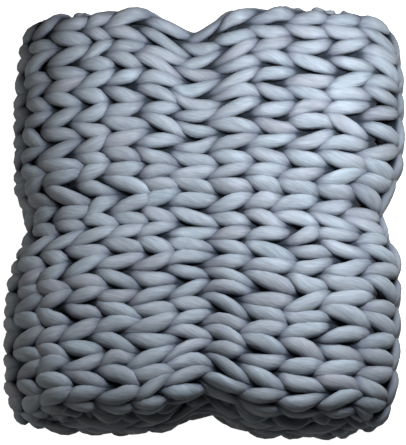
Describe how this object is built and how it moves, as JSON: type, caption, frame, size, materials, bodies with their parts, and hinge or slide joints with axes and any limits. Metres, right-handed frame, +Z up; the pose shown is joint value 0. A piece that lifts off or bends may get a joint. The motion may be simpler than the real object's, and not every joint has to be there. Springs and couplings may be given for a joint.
{
  "type": "chunky knit blanket",
  "caption": "Thick hand-knitted throw blanket, folded in thirds both ways into a soft rounded pack that lies flat.",
  "frame": {"origin": "middle of the folded pack's flat underside, on the surface it lies on", "axes": "+Z up; +Y away from the viewer, across the first fold's turns; +X to the right, across the second fold's round bends"},
  "size_m": [0.4513, 0.4867, 0.2218],
  "materials": {
    "yarn": "thick matte roving yarn, slate blue-grey"
  },
  "bodies": {
    "root": {"knit_blanket": "yarn"}
  },
  "joints": []
}
